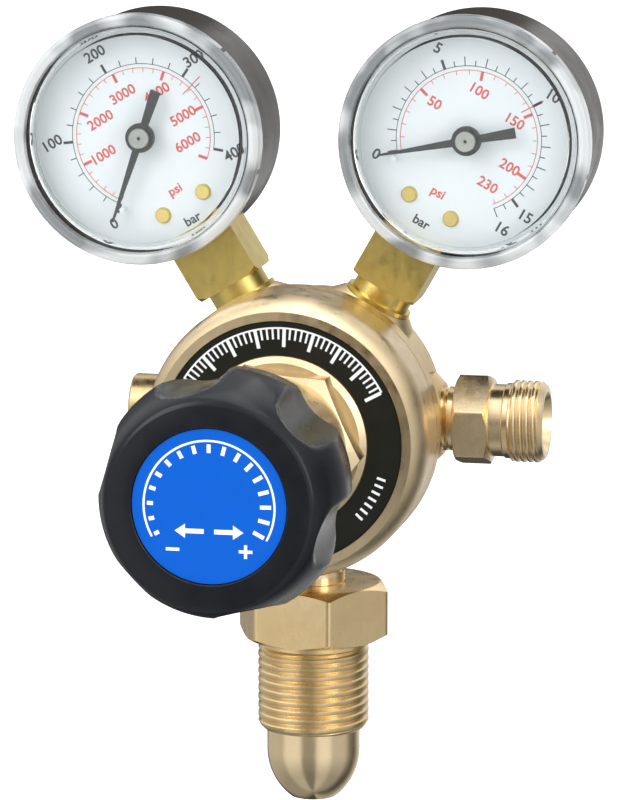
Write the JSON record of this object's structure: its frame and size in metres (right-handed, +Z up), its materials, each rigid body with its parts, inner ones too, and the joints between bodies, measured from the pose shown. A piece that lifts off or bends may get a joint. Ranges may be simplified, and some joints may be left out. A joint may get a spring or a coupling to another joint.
{
  "type": "gas regulator",
  "caption": "Single-stage brass gas cylinder regulator with a bottom inlet nut and rounded nose, a threaded side outlet, a lobed adjusting knob, a relief valve and dial gauges.",
  "frame": {"origin": "on the inlet axis, at the lower end of the inlet nut's full thread; the body centre is 64.8 mm above it", "axes": "+Z up along the inlet axis away from the cylinder valve, -Y along the body axis toward the knob, +X along the outlet"},
  "size_m": [0.1185, 0.1146, 0.1641],
  "materials": {
    "brass_body": "satin",
    "brass_bright": "polished",
    "brass_gauge": "satin",
    "bronze": "porous",
    "steel": "bright",
    "knob_plastic": "gloss",
    "label_black": "satin",
    "disc_blue": "gloss",
    "case_paint": "semi-gloss",
    "dial_white": "satin",
    "pointer_black": "satin",
    "lens_clear": "clear",
    "rubber": "matt",
    "pad": "satin"
  },
  "bodies": {
    "regulator": {"body": "brass_body", "bonnet": "brass_body", "label_ring": "label_black", "diaphragm": "rubber", "slip_ring": "brass_bright", "valve_nozzle": "brass_bright", "nozzle_seal": "rubber", "poppet_spring": "steel", "main_spring": "steel", "inlet_seal": "bronze", "inlet_stem": "brass_bright", "inlet_filter": "bronze", "filter_clip": "steel", "outlet_seal": "bronze", "outlet_fitting": "brass_bright", "relief_seal": "bronze", "relief_housing": "brass_bright", "relief_spring": "steel", "relief_cap": "brass_bright", "seal_left": "bronze", "socket_left": "brass_gauge", "case_left": "case_paint", "vent_left": "rubber", "tube_left": "bronze", "frame_left": "brass_gauge", "link_left": "brass_gauge", "dial_left": "dial_white", "screws_left": "brass_gauge", "lens_left": "lens_clear", "seal_right": "bronze", "socket_right": "brass_gauge", "case_right": "case_paint", "vent_right": "rubber", "tube_right": "bronze", "frame_right": "brass_gauge", "link_right": "brass_gauge", "dial_right": "dial_white", "screws_right": "brass_gauge", "lens_right": "lens_clear"},
    "valve": {"diaphragm_plate": "steel", "valve_poppet": "brass_bright", "poppet_pad": "pad"},
    "seat": {"spring_seat": "steel", "thrust_ball": "steel"},
    "knob": {"adjusting_screw": "steel", "knob": "knob_plastic", "knob_disc": "disc_blue"},
    "relief": {"relief_poppet": "steel"},
    "nut": {"inlet_nut": "brass_bright"},
    "hand_left": {"pointer_left": "pointer_black"},
    "hand_right": {"pointer_right": "pointer_black"},
    "gear_left": {"sector_left": "brass_gauge"},
    "gear_right": {"sector_right": "brass_gauge"}
  },
  "joints": [
    {"name": "screw_advance", "type": "slide", "parent": "regulator", "child": "seat", "axis": [0, 1, 0], "range_m": [0, 0.012], "deforming": ["main_spring"]},
    {"name": "knob_turn", "type": "hinge", "parent": "seat", "child": "knob", "pos_m": [0, 0, 0.0648], "axis": [0, 1, 0], "range_deg": [0, 2880]},
    {"name": "valve_lift", "type": "slide", "parent": "regulator", "child": "valve", "axis": [0, 1, 0], "range_m": [0, 0.0008], "stiffness_N_per_m": 5000, "springref_m": -0.002, "deforming": ["diaphragm", "poppet_spring"]},
    {"name": "relief_lift", "type": "slide", "parent": "regulator", "child": "relief", "axis": [-1, 0, 0], "range_m": [0, 0.0015], "stiffness_N_per_m": 3000, "springref_m": -0.002, "deforming": ["relief_spring"]},
    {"name": "nut_turn", "type": "hinge", "parent": "regulator", "child": "nut", "pos_m": [0, 0, 0], "axis": [0, 0, 1], "continuous": true},
    {"name": "pointer_left_turn", "type": "hinge", "parent": "regulator", "child": "hand_left", "pos_m": [-0.0346, 0, 0.12171], "axis": [0, 1, 0], "range_deg": [0, 260], "stiffness_Nm_per_rad": 0.0005, "springref_deg": -17.19, "deforming": ["tube_left", "link_left"]},
    {"name": "sector_left_turn", "type": "hinge", "parent": "regulator", "child": "gear_left", "pos_m": [-0.04039, 0, 0.10852], "axis": [0, 1, 0], "range_deg": [-30.3, 0]},
    {"name": "pointer_right_turn", "type": "hinge", "parent": "regulator", "child": "hand_right", "pos_m": [0.03269, 0, 0.12282], "axis": [0, 1, 0], "range_deg": [0, 260], "stiffness_Nm_per_rad": 0.0005, "springref_deg": -17.19, "deforming": ["tube_right", "link_right"]},
    {"name": "sector_right_turn", "type": "hinge", "parent": "regulator", "child": "gear_right", "pos_m": [0.01836, 0, 0.12142], "axis": [0, 1, 0], "range_deg": [-30.3, 0]}
  ],
  "couplings": [
    {"joint": "knob_turn", "follows": "screw_advance", "rad_per_m": 4188.8},
    {"joint": "sector_left_turn", "follows": "pointer_left_turn", "ratio": -0.11628},
    {"joint": "sector_right_turn", "follows": "pointer_right_turn", "ratio": -0.11628}
  ]
}
